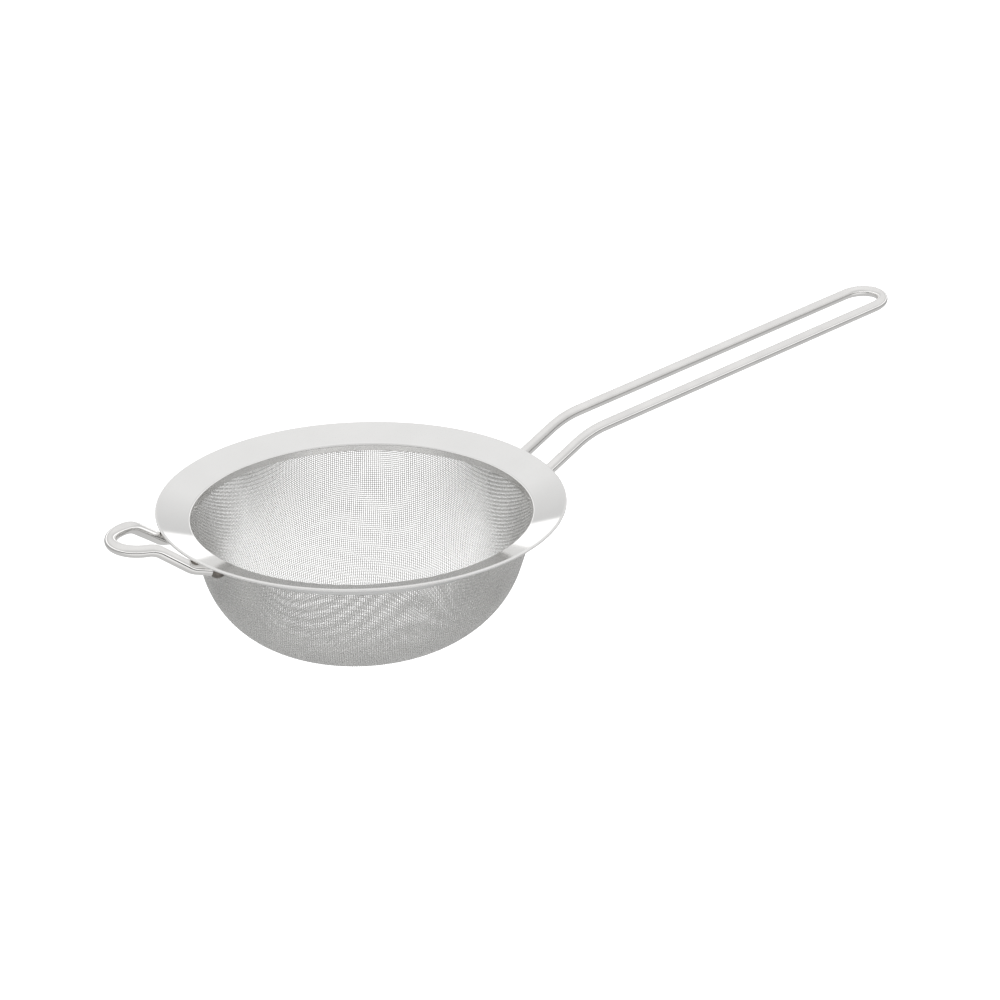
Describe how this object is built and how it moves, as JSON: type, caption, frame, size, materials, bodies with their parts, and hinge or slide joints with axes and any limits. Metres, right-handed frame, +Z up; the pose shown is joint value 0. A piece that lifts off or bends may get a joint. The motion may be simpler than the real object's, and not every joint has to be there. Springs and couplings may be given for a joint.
{
  "type": "tea strainer",
  "caption": "Hand-held steel tea strainer: round wire-cloth bowl in a dished polished flange, with a long looped wire handle and a small rest loop opposite.",
  "frame": {"origin": "centre of the round rim, level with the flange's highest ring", "axes": "+X from the rim's centre along the handle, +Z up out of the bowl's mouth, +Y to the left of the handle"},
  "size_m": [0.2758, 0.12, 0.0755],
  "materials": {
    "polished_sheet": "mirror-polished stainless steel sheet, not plated",
    "band_sheet": "satin stainless steel strip",
    "wire_cloth": "plain-woven stainless steel wire cloth, bright drawn wire",
    "bent_wire": "tumble-polished stainless steel round wire, soft gloss",
    "weld": "cleaned stainless steel weld beads, slightly dull"
  },
  "bodies": {
    "root": {"rim_flange": "polished_sheet", "clamp_band": "band_sheet", "mesh_bowl": "wire_cloth", "handle_wire": "bent_wire", "rest_loop": "bent_wire", "handle_welds": "weld", "rest_loop_welds": "weld"}
  },
  "joints": []
}
